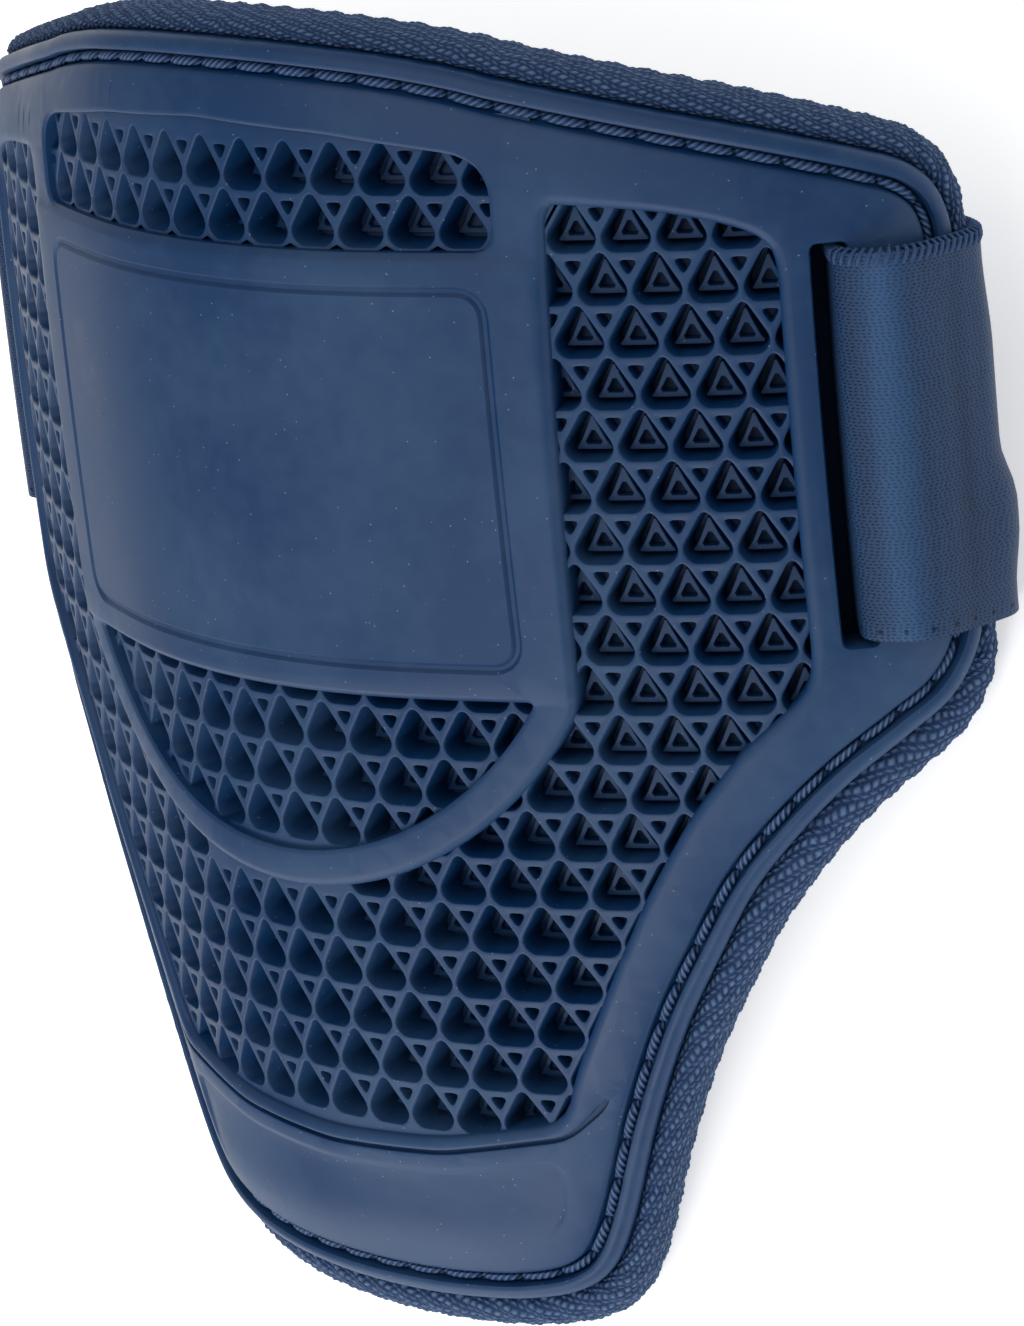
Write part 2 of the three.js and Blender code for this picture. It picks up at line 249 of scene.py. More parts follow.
def edge_loop(side_reach, top_reach, foot_reach):
    """The guard's edge, from the left ear along the foot to the right ear and back along the top."""
    wide = 1 + side_reach / EAR_REACH
    right = [(u * wide, top - top_reach, bottom + foot_reach) for u, top, bottom in SHELL_COLUMNS]
    both = [(-u, top, bottom) for u, top, bottom in reversed(right[1:])] + right
    foot = [Vector((u, -bottom, 0)) for u, top, bottom in both]
    top = [Vector((u, -top, 0)) for u, top, bottom in reversed(both)]
    return [point.to_2d() for point in smooth(foot + top, EDGE_STEPS, closed=True)]


shell_edge = edge_loop(0, 0, 0)

# Windows of the lattice, in the flat pattern.
BAR_OUTER_TOP = 48
BAR_OUTER_FOOT = 46.4
TOP_WINDOW = ((-19.2, 11.7), (-38.3, 14.4), (-41.3, 17.2), (-41.3, 26.1))
TOP_WINDOW_CROWN = 10.5
U_CENTRE = 56.7
U_INNER_RADIUS = 48.5
U_OUTER_RADIUS = 53.6
U_WINDOW_TOP = 82.9
U_STEPS = 24
RIB_STEPS = 26
PANEL_EDGE = (
    (50.5, 20.6), (62, 21.7), (70, 23.4), (74.6, 25.3), (76, 28), (76, 78.5), (74.8, 82), (66.4, 88.8),
    (58.7, 97.6), (51.8, 108.1), (46, 118.6), (38.6, 132.8), (36, 139.9), (18, 143.4),
)
PANEL_FOOT = 144.4
WINDOW_CORNER = 2.5
U_CORNER = 1
PANEL_CORNER = 3


def mirrored_outline(left_half, middle):
    """A closed anticlockwise outline: down the left half as (u, s), its mirror image, then the middle."""
    left = [(u, -s) for u, s in left_half]
    return left + [(-u, up) for u, up in reversed(left)] + [(0, -s) for s in middle]


def arc(radius, reach, steps):
    """Points (u, s) of an arc about the centre of the U, from left to right."""
    end = math.asin(reach / radius)
    turns = [end * (2 * step / steps - 1) for step in range(steps + 1)]
    return [(radius * math.sin(turn), U_CENTRE + radius * math.cos(turn)) for turn in turns]


top_window = eased(mirrored_outline(TOP_WINDOW, [TOP_WINDOW_CROWN]), WINDOW_CORNER)
u_reach = math.sqrt(U_INNER_RADIUS ** 2 - (U_WINDOW_TOP - U_CENTRE) ** 2)
u_window = eased([(u, -s) for u, s in arc(U_INNER_RADIUS, u_reach, U_STEPS)], U_CORNER)
panel_left = [(-u, s) for u, s in PANEL_EDGE]
panel_right = [(u, s) for u, s in reversed(PANEL_EDGE)]
panel_top = PANEL_EDGE[0][1]
rib_arc = arc(U_OUTER_RADIUS, BAR_OUTER_FOOT, RIB_STEPS)
rib = [(BAR_OUTER_TOP, panel_top), *reversed(rib_arc), (-BAR_OUTER_TOP, panel_top)]
panel = panel_left + [(0, PANEL_FOOT)] + panel_right + rib
panel_window = eased([(u, -s) for u, s in panel], PANEL_CORNER)

SLOT_INNER = 80
SLOT_OUTER = 84.5
SLOT_TOP = 26.4
SLOT_FOOT = 76.4
SLOT_CORNER = 0.9


def box_outline(left, right, top, foot):
    return [(left, -top), (left, -foot), (right, -foot), (right, -top)]


def slot_pair(inner, outer, top, foot, corner, profile):
    """The walls of a slot at the left, and of its mirror image at the right."""
    sides = ((-outer, -inner), (inner, outer))
    return [sweep(eased(box_outline(*side, top, foot), corner), profile) for side in sides]


# Rim, from the shell's back round the bead, across the sewing channel and up to the body's soft edge.
RIM_PROFILE = (
    (-0.9, -SHELL_THICKNESS), (-0.6, -2.2), (-0.6, 0.1), (-0.75, 0.6), (-1.15, 0.95), (-1.75, 1.08),
    (-2.35, 0.95), (-2.75, 0.6), (-2.92, 0.1), (-3, -1.3), (-3.2, -1.55), (-4.3, -1.55), (-4.5, -1.3),
    (-4.6, -0.4), (-4.8, -0.1), (-5.3, 0),
)
LIP_PROFILE = ((0.75, 0), (0.3, -0.08), (0.06, -0.3), (0, -1), (-0.2, -SHELL_THICKNESS))
PANEL_LIP_PROFILE = ((1.4, 0), (0.8, -0.12), (0.3, -0.5), (0.05, -1), (-0.1, -SHELL_THICKNESS))
SLOT_PROFILE = ((0.6, 0), (0.2, -0.1), (0, -0.5), (0, -SHELL_THICKNESS))
GROOVE_PROFILE = ((0.75, 0), (0.3, -0.4), (-0.2, -0.4), (-0.65, 0))

strips = [
    sweep(shell_edge, RIM_PROFILE), sweep(top_window, LIP_PROFILE), sweep(u_window, LIP_PROFILE),
    sweep(panel_window, PANEL_LIP_PROFILE),
    *slot_pair(SLOT_INNER, SLOT_OUTER, SLOT_TOP, SLOT_FOOT, SLOT_CORNER, SLOT_PROFILE),
]

# Groove round the centre panel.
GROOVE_HALF_WIDTH = 39.6
GROOVE_TOP = 30.8
GROOVE_FOOT = 78.4
GROOVE_CORNER = 3.5
GROOVE_CORNER_STEPS = 5
groove = box_outline(-GROOVE_HALF_WIDTH, GROOVE_HALF_WIDTH, GROOVE_TOP, GROOVE_FOOT)
strips.append(sweep(eased(groove, GROOVE_CORNER, GROOVE_CORNER_STEPS), GROOVE_PROFILE))

# A crease under the lattice parts it from the lower plate, and widens to a nick at each end.
# Its right half: distance across, distance down and half its width.
CREASE = (
    (0, 146.5, 0.3), (18, 145.5, 0.3), (36.2, 142, 0.32), (39.6, 139.2, 0.32), (41, 137.8, 0.5),
    (42.3, 136.6, 0.1),
)
CREASE_DEPTH = 0.75
CREASE_CORNER = 2
CREASE_PROFILE = ((0.25, 0), (0.06, -0.06), (0, -0.3), (-0.03, -CREASE_DEPTH))
crease = [(Vector((-u, -s)), wide) for u, s, wide in CREASE[:0:-1]]
crease += [(Vector((u, -s)), wide) for u, s, wide in CREASE]
crease_foot = []
crease_top = []
for at, (point, wide) in enumerate(crease):
    run = crease[min(at + 1, len(crease) - 1)][0] - crease[max(at - 1, 0)][0]
    side = Vector((-run.y, run.x)).normalized() * wide
    crease_foot.append(point - side)
    crease_top.append(point + side)
strips.append(sweep(eased(crease_foot + crease_top[::-1], CREASE_CORNER), CREASE_PROFILE))


def ramp(value, low, high):
    """Eases from 0 at the low value to 1 at the high one."""
    share = min(max((value - low) / (high - low), 0), 1)
    return share * share * (3 - 2 * share)


# The lower plate has a shallow recess, left bare, that fades out toward the foot.
RECESS_LEFT = ((-18, 148.2), (-35.2, 145.6), (-33.8, 153.6), (-29, 159), (-12, 160.6))
RECESS_CROWN = 149.1
RECESS_DEPTH = 0.5
RECESS_FADE = (150, 160)
RECESS_CORNER = 2.5
RECESS_CUTS_ACROSS = range(-36, 37, 3)
RECESS_CUTS_DOWN = range(147, 161, 2)
RECESS_PROFILE = ((0.6, 0), (0.25, -0.06), (-0.25, -0.44), (-0.6, -RECESS_DEPTH))
recess_edge = eased(mirrored_outline(RECESS_LEFT, [RECESS_CROWN]), RECESS_CORNER)
recess = sweep(recess_edge, RECESS_PROFILE)
fill_between(recess, -RECESS_DEPTH)
slice_flat(recess, RECESS_CUTS_ACROSS, RECESS_CUTS_DOWN)
for vertex in recess.data.vertices:
    vertex.co.z *= 1 - ramp(-vertex.co.y / mm, *RECESS_FADE)
strips.append(recess)

shell = joined("rubber_shell", strips)
fill_between(shell, 0)
fill_between(shell, -CREASE_DEPTH)
fill_between(shell, -SHELL_THICKNESS)

# The centre panel stands a little proud between the top window and the U.
SLAB_RISE = 0.45
SLAB_TOP = (26.4, 27.4)
SLAB_FOOT = (81.9, 82.9)
SLAB_SIDE = (45.5, 47.5)
SHELL_CUTS_ACROSS = range(-96, 97, 3)
SHELL_CUTS_DOWN = range(3, 168, 4)
slice_flat(shell, SHELL_CUTS_ACROSS, sorted([*SHELL_CUTS_DOWN, *SLAB_TOP, *SLAB_FOOT]))

shell_edge_tree = kdtree.KDTree(len(shell_edge))
for at, point in enumerate(shell_edge):
    shell_edge_tree.insert(point.to_3d(), at)
shell_edge_tree.balance()


def rim_slope(u, s):
    """How far the rubber lies below its middle: nothing inside the crest, more and more toward the rim."""
    distance = shell_edge_tree.find((u, -s, 0))[2]
    return -RIM_DROP * max(0, 1 - distance / RIM_WIDTH) ** RIM_POWER


def slab_rise(u, s):
    along = ramp(s, *SLAB_TOP) * (1 - ramp(s, *SLAB_FOOT))
    return SLAB_RISE * along * (1 - ramp(abs(u), *SLAB_SIDE))


JUST_ABOVE_BACK = -SHELL_THICKNESS + 0.1
for vertex in shell.data.vertices:
    u, up, n = vertex.co / mm
    if n > JUST_ABOVE_BACK:
        vertex.co.z += (rim_slope(u, -up) + slab_rise(u, -up)) * mm

# Rubber shell, the lattice in the windows.
# Each pocket is moulded with a rounded lip, and a hollow three-sided pin stands on its floor.
# One tile holds a house-shaped pocket and the small three-cornered one beside it.
PITCH = 6.8
ROW_PITCH = 6.45
FIRST_ROW = 13.75
COLUMN_REACH = 12
LATTICE_DROP = 1
POCKET_DEPTH = 5.3
SMALL_POCKET_DEPTH = 2.2
LATTICE_REACH = 77.4
POCKET_CORNER = 0.6
POCKET_CORNER_STEPS = 2
POCKET_CORNERS = (
    (0.45, 0.15), (-0.45, 0.15), (-3.08, -4), (-3.08, -5.15), (-2, -6.3), (2, -6.3), (3.08, -5.15),
    (3.08, -4),
)
POCKET_PROFILE = ((0.2, 0), (0.07, -0.05), (-0.04, -0.24), (-0.4, -POCKET_DEPTH))
SMALL_POCKET_CORNERS = ((2.2, -0.8), (3.4, -2.75), (4.6, -0.8))
SMALL_POCKET_PROFILE = ((0.2, 0), (0.07, -0.05), (0, -0.2), (-0.25, -SMALL_POCKET_DEPTH))
half_pitch = PITCH / 2
PEAK = 0.5
SHOULDER_OUT = 1.12
SHOULDER_UP = -0.12
EAVES = ((-SHOULDER_OUT, SHOULDER_UP), (-half_pitch, -3.73))
FOOT_CORNERS = ((-half_pitch, PEAK - ROW_PITCH), (SHOULDER_OUT - half_pitch, SHOULDER_UP - ROW_PITCH))
TILE_CORNERS = (
    (0, PEAK), *EAVES, *FOOT_CORNERS, *((-u, up) for u, up in reversed(FOOT_CORNERS)),
    *((PITCH + u, up) for u, up in reversed(EAVES)), (SHOULDER_OUT, SHOULDER_UP),
)


def flat_tile(corners, fill):
    bpy.ops.mesh.primitive_circle_add(vertices=len(corners), fill_type=fill)
    flat = bpy.context.object
    for vertex, (u, up) in zip(flat.data.vertices, corners):
        vertex.co = (u * mm, up * mm, 0)
    flat.select_set(False)
    return flat


pocket_edge = eased(POCKET_CORNERS, POCKET_CORNER, POCKET_CORNER_STEPS)
small_pocket_edge = eased(SMALL_POCKET_CORNERS, POCKET_CORNER, POCKET_CORNER_STEPS)
tile = joined("tile", [
    flat_tile(TILE_CORNERS, "NOTHING"), sweep(pocket_edge, POCKET_PROFILE),
    sweep(small_pocket_edge, SMALL_POCKET_PROFILE),
])
for height in (0, -POCKET_DEPTH, -SMALL_POCKET_DEPTH):
    fill_between(tile, height)

# Where only the tip of a pocket would show, at the foot of a window, the rubber is plain.
# Above the first row it is a plain strip.
STRIP_HEIGHT = 3.4
STRIP_CORNERS = (
    (-SHOULDER_OUT, STRIP_HEIGHT), (-SHOULDER_OUT, SHOULDER_UP), (0, PEAK), (SHOULDER_OUT, SHOULDER_UP),
    (PITCH - SHOULDER_OUT, SHOULDER_UP), (PITCH - SHOULDER_OUT, STRIP_HEIGHT),
)
plain = flat_tile(TILE_CORNERS, "NGON")
plain_strip = flat_tile(STRIP_CORNERS, "NGON")

# The pin's top is a flat ring. Toward the middle of the guard the pins are shorter.
PIN_CORNERS = (
    (0, -0.7), (-1, -2.9), (-1.75, -4.4), (-2.6, -5.35), (2.6, -5.35), (1.75, -4.4), (1, -2.9),
)
PIN_HOLE_CORNERS = ((0, -2.6), (-1.25, -4.65), (1.25, -4.65))
PIN_HOLE_DEPTH = 2
PIN_CORNER = 0.4
PIN_PROFILE = ((0, -POCKET_DEPTH), (0, -0.12), (-0.12, 0))
PIN_HOLE_PROFILE = ((0.1, 0), (0, -0.1), (0, -PIN_HOLE_DEPTH))
PIN_DEPTH_SIDE = 2.4
PIN_DEPTH_MIDDLE = 4.4
PIN_STEP = (34, 56)
pin = joined("pin", [
    sweep(eased(PIN_CORNERS, PIN_CORNER, 1), PIN_PROFILE),
    sweep(eased(PIN_HOLE_CORNERS, PIN_CORNER, 1), PIN_HOLE_PROFILE),
])
fill_between(pin, 0)
fill_between(pin, -PIN_HOLE_DEPTH)


def is_inside(point, outline):
    inside = False
    for at, end in enumerate(outline):
        start = outline[at - 1]
        if (start.y > point.y) != (end.y > point.y):
            crossed = start.x + (end.x - start.x) * (point.y - start.y) / (end.y - start.y)
            inside ^= point.x < crossed
    return inside


def copied(source, shift=Vector((0, 0, 0))):
    copy = bpy.data.objects.new(source.name, source.data.copy())
    copy.data.transform(Matrix.Translation(shift * mm))
    bpy.context.collection.objects.link(copy)
    return copy


U_LAST_ROW = 14
TOP_WINDOW_LIFT = 0.7
PANEL_LAST_ROW = 20
TILE_MERGE = 0.02
tiles = []
pins = []
for row in range(PANEL_LAST_ROW + 1):
    for column in range(-COLUMN_REACH, COLUMN_REACH + 1):
        corner = Vector(((column + row % 2 / 2) * PITCH, -FIRST_ROW - row * ROW_PITCH))
        shown = [corner + Vector(point) for point in (*TILE_CORNERS, (0, -ROW_PITCH / 2))]
        in_top, in_u, in_panel = (
            any(is_inside(point, window) for point in shown)
            for window in (top_window, u_window, panel_window)
        )
        if not (in_top or in_u or in_panel):
            continue
        shift = Vector((corner.x, corner.y + (TOP_WINDOW_LIFT if in_top else 0), -LATTICE_DROP))
        if row == 0:
            tiles.append(copied(plain_strip, shift))
        if row == PANEL_LAST_ROW or (in_u and row == U_LAST_ROW):
            tiles.append(copied(plain, shift))
            continue
        tiles.append(copied(tile, shift))
        side = ramp(abs(corner.x), *PIN_STEP)
        pin_depth = PIN_DEPTH_MIDDLE + (PIN_DEPTH_SIDE - PIN_DEPTH_MIDDLE) * side
        pins.append(copied(pin, shift - Vector((0, 0, pin_depth))))
for pattern in (tile, plain, plain_strip, pin):
    bpy.data.objects.remove(pattern)

lattice = joined("lattice", tiles)
merge(lattice, TILE_MERGE)
lattice = joined("lattice", [lattice, *pins])
edit(lattice)
for reach in (-LATTICE_REACH, LATTICE_REACH):
    bpy.ops.mesh.select_all(action="SELECT")
    bpy.ops.mesh.bisect(
        plane_co=(reach * mm, 0, 0), plane_no=(reach, 0, 0), clear_outer=True, use_fill=False,
    )
bpy.ops.object.mode_set(mode="OBJECT")
floor_height = -LATTICE_DROP - POCKET_DEPTH
for vertex in lattice.data.vertices:
    u, up, n = vertex.co / mm
    sunk = rim_slope(u, -up) * max(0, 1 + n / SHELL_THICKNESS)
    vertex.co.z = max(n + sunk, floor_height) * mm

MOULDED_SHARP = 40
for part in (shell, lattice):
    bend(part)
    close_up(part, MOULDED_SHARP)
shell = joined("rubber_shell", [shell, lattice])


def linear(code):
    """Linear colour of an sRGB hex code."""
    parts = [int(code[at:at + 2], 16) / 255 for at in (1, 3, 5)]
    return [part / 12.92 if part <= 0.04045 else ((part + 0.055) / 1.055) ** 2.4 for part in parts] + [1]


def add_node(tree, kind, sockets=None, **settings):
    """Adds a node with its settings. A socket gets a value, or a link from an output or from a node."""
    node = tree.nodes.new(kind)
    for name, value in settings.items():
        setattr(node, name, value)
    for name, value in (sockets or {}).items():
        if isinstance(value, bpy.types.Node):
            value = next(output for output in value.outputs if output.enabled)
        if isinstance(value, bpy.types.NodeSocket):
            tree.links.new(value, node.inputs[name])
        else:
            node.inputs[name].default_value = value
    return node


def new_material(name, values):
    """A new material with the values that are the same all over it, its node tree and its shader."""
    material = bpy.data.materials.new(name)
    material.use_nodes = True
    shader = material.node_tree.nodes["Principled BSDF"]
    for socket, value in values.items():
        shader.inputs[socket].default_value = value
    return material, material.node_tree, shader


def link_up(tree, shader, colour, bump):
    tree.links.new(colour.outputs["Result"], shader.inputs["Base Color"])
    tree.links.new(bump.outputs["Normal"], shader.inputs["Normal"])


# Moulded rubber: matt navy with a broad soft sheen, a very fine grain from the mould, cloudy patches of
# paler bloom where the oils come out, and a few specks of dust.
RUBBER = "#04315b"
RUBBER_BLOOM = "#2b4a6c"
DUST = "#9aa7b8"
GRAIN_SIZE = 0.35
CLOUD_SIZE = 2.6
BLOOM_SIZE = 26
DUST_SPACING = 1.7
DUST_RADIUS = 0.12
rubber, tree, shader = new_material("moulded_thermoplastic_rubber", {
    "IOR": 1.45, "Specular IOR Level": 0.42,
})
where = add_node(tree, "ShaderNodeTexCoord").outputs["Object"]
bloom, clouds, grain = (
    add_node(tree, "ShaderNodeTexNoise", {"Vector": where, "Scale": 1 / (size * mm), "Detail": detail})
    for size, detail in ((BLOOM_SIZE, 4), (CLOUD_SIZE, 4), (GRAIN_SIZE, 2))
)
dust = add_node(tree, "ShaderNodeTexVoronoi", {"Vector": where, "Scale": 1 / (DUST_SPACING * mm)})
clouded = add_node(tree, "ShaderNodeMath", {0: clouds, 1: 0.3, 2: bloom}, operation="MULTIPLY_ADD")
bloom_share = add_node(tree, "ShaderNodeMapRange", {
    "Value": clouded, "From Min": 0.56, "From Max": 0.9, "To Max": 0.7,
})
bloomed = add_node(tree, "ShaderNodeMix", {
    "Factor": bloom_share, "A": linear(RUBBER), "B": linear(RUBBER_BLOOM),
}, data_type="RGBA")
speck = add_node(tree, "ShaderNodeMapRange", {
    "Value": dust, "From Min": 0.5 * DUST_RADIUS / DUST_SPACING,
    "From Max": DUST_RADIUS / DUST_SPACING, "To Min": 0.5, "To Max": 0,
})
colour = add_node(tree, "ShaderNodeMix", {
    "Factor": speck, "A": bloomed, "B": linear(DUST),
}, data_type="RGBA")
roughness = add_node(tree, "ShaderNodeMapRange", {
    "Value": clouded, "From Min": 0.45, "From Max": 0.85, "To Min": 0.42, "To Max": 0.58,
})
bump = add_node(tree, "ShaderNodeBump", {"Height": grain, "Strength": 0.25, "Distance": 0.05 * mm})
tree.links.new(roughness.outputs["Result"], shader.inputs["Roughness"])
link_up(tree, shader, colour, bump)
shell.data.materials.append(rubber)
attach(shell, "root")
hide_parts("shell")

# Fabric-covered pad behind the shell.
# A foam liner in a coarse woven polyester cover, sewn to the shell round its edge. The cover rolls out
# past the shell's bead, and its thick yarns stand out of it and make the edge a little lumpy.
COVER_SIDE_REACH = 3.2
COVER_FOOT_REACH = 5
COVER_STEP = 0.45
FLAT_STEPS = 4
FLAT_FRONT = ((-9, PAD_OUTER), (-4.6, PAD_OUTER))
FLAT_BACK = (-9, PAD_INNER)

# The roll, from the shell's bead round to the pad's back: distance out from the cover's edge, and height.
ROLL_PROFILE = (
    (-4.25, -6.3), (-4.15, -4.4), (-3.6, -3.6), (-2.8, -3.35), (-1.9, -3.7), (-1.1, -4.5), (-0.5, -5.7),
    (-0.12, -7.2), (0, -8.8), (-0.1, -10.3), (-0.6, -11.6), (-1.6, -12.5), (-3.4, PAD_INNER),
)
ROLL_STEPS = 5
ROLL_WIDTH = 4.2
BEAD_SETBACK = 0.6
LUMP_HEIGHT = 0.13
LUMP_LENGTH = 4.4
LUMP_SLANT = 0.11
LUMP_START = (-4.3, -3)

# The weave's repeat is a wide row and a thin one, and its rows run round the edge at a slant. Lengths and
# heights are in millimetres, the other values in repeats.
YARN_LENGTH = 1.25
YARN_PERIOD = 1.7
THIN_ROW = 0.62
YARN_END = 0.4
YARN_SIDE = 0.24
ROW_SHIFT = 4 / 3
YARN_LEAN = 0.8
YARN_RISE = 0.24
YARN_SLANT = 0.3
ROW_TURNS = -124
YARN_WANDER = 0.3
WANDER_LENGTH = 3.5
WANDER_SEED = 1


def distances(points):
    """Distance along a line at each of its points."""
    total = [0]
    for before, after in zip(points, points[1:]):
        total.append(total[-1] + (after - before).length)
    return total


def spot_on(line, stops, distance):
    """The place a distance along a line, and the line's run there."""
    at = min(bisect(stops, distance), len(stops) - 1)
    run = line[at] - line[at - 1]
    return line[at] - run * ((stops[at] - distance) / (stops[at] - stops[at - 1])), run


def yarn_crown(x, y):
    """Height of the weave, 0 to 1: wide and thin rows by turns, leaning to one side and the other."""
    within = y % 1
    to_period = min(within, 1 - within)
    row = math.floor(y) + (0.5 if within > THIN_ROW else 0)
    end = abs((x + row * ROW_SHIFT + to_period * YARN_LEAN + 0.5) % 1 - 0.5)
    side = min(to_period, abs(within - THIN_ROW))
    return ramp(end, 0, YARN_END) * ramp(side, 0, YARN_SIDE)


cover_edge = edge_loop(COVER_SIDE_REACH, PAD_TOP_REACH, COVER_FOOT_REACH)
cover_edge.append(cover_edge[0])
stops = distances(cover_edge)
ring_count = FLAT_STEPS * round(stops[-1] / COVER_STEP / FLAT_STEPS)
lump_count = round(stops[-1] / LUMP_LENGTH)
whole_lap = Vector((round(stops[-1] / YARN_LENGTH), ROW_TURNS))
rings = [spot_on(cover_edge, stops, stops[-1] * step / ring_count) for step in range(ring_count)]
rolled = smooth([Vector((*point, 0)) for point in ROLL_PROFILE], ROLL_STEPS, closed=False)
profile = [
    *(Vector(point) for point in FLAT_FRONT), *(point.to_2d() for point in rolled), Vector(FLAT_BACK),
]
over = distances(profile)
flat_rows = (*range(len(FLAT_FRONT)), len(profile) - 1)
noise.seed_set(WANDER_SEED)

# The roll's own rows are hidden until the flat faces are filled and cut, so that its yarns stay whole.
# Along the flat rows only each fourth ring has a place of its own, and the others merge with it.
roll = sweep([edge for edge, run in rings], profile)
weave_map = roll.data.uv_layers.new(name="weave")
unrolled = []
for vertex in roll.data.vertices:
    step, row = divmod(vertex.index, len(profile))
    if row in flat_rows:
        step -= step % FLAT_STEPS
    else:
        vertex.hide = True
    edge, run = rings[step]
    side = Vector((run.y, -run.x)).normalized()
    cloth = whole_lap * (step / ring_count) + Vector((over[row] * YARN_SLANT, over[row] / YARN_PERIOD))
    cloth += noise.noise_vector(Vector((*edge, over[row])) / WANDER_LENGTH).to_2d() * YARN_WANDER
    unrolled.append(cloth)
    across, height = profile[row]
    slope = profile[min(row + 1, len(profile) - 1)] - profile[max(row - 1, 0)]
    phase = step * lump_count / ring_count - over[row] * LUMP_SLANT
    rise = LUMP_HEIGHT * math.cos(math.tau * phase) + YARN_RISE * yarn_crown(*cloth)
    rise *= ramp(across, *LUMP_START)
    if across > -ROLL_WIDTH:
        width = shell_edge_tree.find((*edge, 0))[2] + BEAD_SETBACK
        across *= width / ROLL_WIDTH
    normal = Vector((-slope.y, slope.x)).normalized()
    vertex.co = Vector((*(edge + side * (across + normal.x * rise)), height + normal.y * rise)) * mm
for face in roll.data.polygons:
    last = max(face.vertices) >= (ring_count - 1) * len(profile)
    for at, vertex in zip(face.loop_indices, face.vertices):
        again = 1 if last and vertex < len(profile) else 0
        weave_map.data[at].uv = unrolled[vertex] + whole_lap * again
for part in (*roll.data.edges, *roll.data.polygons):
    part.hide = any(roll.data.vertices[at].hide for at in part.vertices)

# A slit behind each slot of the shell lets the strap through.
SLIT_INNER = 82.1
SLIT_OUTER = 84.3
SLIT_TOP = 27
SLIT_FOOT = 75.8
SLIT_CORNER = 0.5
SLIT_PROFILE = ((0, PAD_OUTER), (0, PAD_INNER))
PAD_CUTS_ACROSS = range(-98, 99, 4)
PAD_CUTS_DOWN = range(0, 176, 8)
slits = slot_pair(SLIT_INNER, SLIT_OUTER, SLIT_TOP, SLIT_FOOT, SLIT_CORNER, SLIT_PROFILE)
pad = joined("fabric_pad", [roll, *slits])
merge(pad, MERGE_DISTANCE)
fill_between(pad, PAD_OUTER)
fill_between(pad, PAD_INNER)
slice_flat(pad, PAD_CUTS_ACROSS, PAD_CUTS_DOWN)

# The filled faces have no place in the weave yet. The front ones are bare foam under the shell, painted
# nearly black as painted shade where it shows through the slits.
PAD_MIDDLE = (PAD_OUTER + PAD_INNER) / 2
UNPLACED = 1e-6
SOFT_SHARP = 60
weave_map = pad.data.uv_layers["weave"]
for face in pad.data.polygons:
    if all(weave_map.data[at].uv.length < UNPLACED for at in face.loop_indices):
        if face.center.z > PAD_MIDDLE * mm:
            face.material_index = 1
        for at in face.loop_indices:
            spot = pad.data.vertices[pad.data.loops[at].vertex_index].co / mm
            weave_map.data[at].uv = (spot.x / YARN_LENGTH, spot.y / YARN_PERIOD)
edit(pad)
bpy.ops.mesh.reveal(select=False)
bpy.ops.object.mode_set(mode="OBJECT")
bend(pad)
for vertex in pad.data.vertices:
    vertex.co.z = max(vertex.co.z, 0)
close_up(pad, SOFT_SHARP)

# Coarse woven polyester: thick soft yarns. Their crowns are painted pale as a painted highlight, and the
# gaps between them are painted dark as painted shade.
YARN_CROWN_HIGHLIGHT = "#526d8f"
YARN_SHADE = "#00204c"
FIBRE_SHEEN = "#7f9cc4"
woven, tree, shader = new_material("coarse_woven_polyester", {
    "Roughness": 0.7, "Specular IOR Level": 0.2, "Sheen Weight": 0.03, "Sheen Tint": linear(FIBRE_SHEEN),
})
where = add_node(tree, "ShaderNodeUVMap", uv_map="weave").outputs["UV"]
axes = add_node(tree, "ShaderNodeSeparateXYZ", {"Vector": where})
within = add_node(tree, "ShaderNodeMath", {0: axes.outputs["Y"]}, operation="FRACT")
thin = add_node(tree, "ShaderNodeMath", {0: within, 1: THIN_ROW}, operation="GREATER_THAN")
period = add_node(tree, "ShaderNodeMath", {0: axes.outputs["Y"]}, operation="FLOOR")
row = add_node(tree, "ShaderNodeMath", {0: thin, 1: 0.5, 2: period}, operation="MULTIPLY_ADD")
stepped = add_node(tree, "ShaderNodeMath", {
    0: row, 1: ROW_SHIFT, 2: axes.outputs["X"],
}, operation="MULTIPLY_ADD")
to_period = add_node(tree, "ShaderNodeMath", {0: axes.outputs["Y"], 1: 0.5}, operation="PINGPONG")
staggered = add_node(tree, "ShaderNodeMath", {
    0: to_period, 1: YARN_LEAN, 2: stepped,
}, operation="MULTIPLY_ADD")
column = add_node(tree, "ShaderNodeMath", {0: staggered}, operation="FLOOR")
crossing = add_node(tree, "ShaderNodeCombineXYZ", {"X": column, "Y": row})
chance = add_node(tree, "ShaderNodeTexWhiteNoise", {"Vector": crossing}, noise_dimensions="2D")
along = add_node(tree, "ShaderNodeMath", {0: staggered, 1: 0.5}, operation="PINGPONG")
past_thin = add_node(tree, "ShaderNodeMath", {0: within, 1: THIN_ROW}, operation="SUBTRACT")
to_thin = add_node(tree, "ShaderNodeMath", {0: past_thin}, operation="ABSOLUTE")
across = add_node(tree, "ShaderNodeMath", {0: to_period, 1: to_thin}, operation="MINIMUM")
end = add_node(tree, "ShaderNodeMapRange", {
    "Value": along, "From Max": YARN_END,
}, interpolation_type="SMOOTHSTEP")
side = add_node(tree, "ShaderNodeMapRange", {
    "Value": across, "From Max": YARN_SIDE,
}, interpolation_type="SMOOTHSTEP")
even = add_node(tree, "ShaderNodeMath", {0: end, 1: side}, operation="MULTIPLY")
uneven = add_node(tree, "ShaderNodeMapRange", {"Value": chance, "To Min": 0.7, "To Max": 1.1})
crowns = add_node(tree, "ShaderNodeMath", {0: even, 1: uneven}, operation="MULTIPLY")
fluff = add_node(tree, "ShaderNodeTexNoise", {"Vector": where, "Scale": 4, "Detail": 3})
